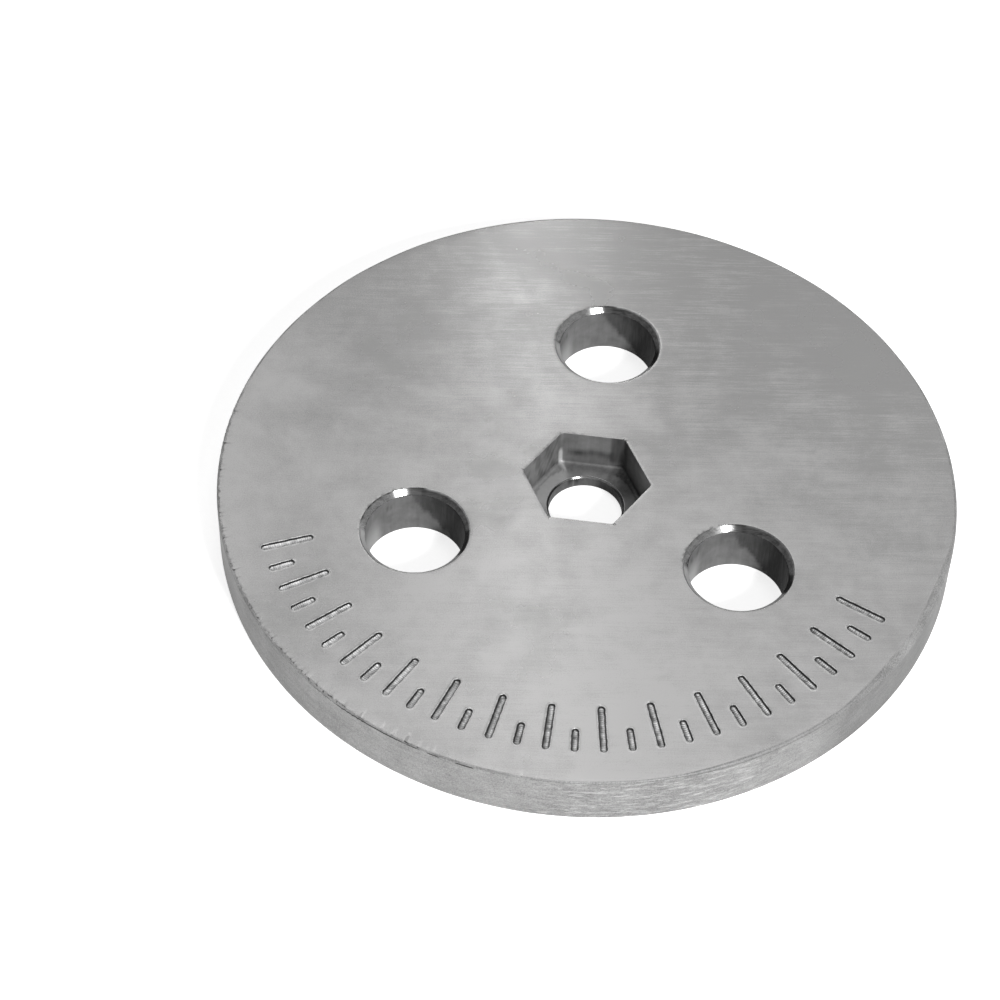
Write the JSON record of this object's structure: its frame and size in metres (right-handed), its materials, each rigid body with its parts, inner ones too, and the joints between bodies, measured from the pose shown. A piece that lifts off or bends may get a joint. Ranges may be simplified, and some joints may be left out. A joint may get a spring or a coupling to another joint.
{
  "type": "sacrificial anode",
  "caption": "Flat round zinc sacrificial anode with bevelled fixing holes, a hexagonal bolt head recess over a shank hole, and an arc of engraved graduation marks.",
  "frame": {"origin": "centre of the back face, which the disc lies on", "axes": "+Z out of the front face, +Y from the centre to the first fixing hole, the engraved marks on the -Y side"},
  "size_m": [0.0952, 0.0952, 0.0074],
  "materials": {
    "zinc": "dull brushed cast zinc"
  },
  "bodies": {
    "root": {"anode_plate": "zinc"}
  },
  "joints": []
}
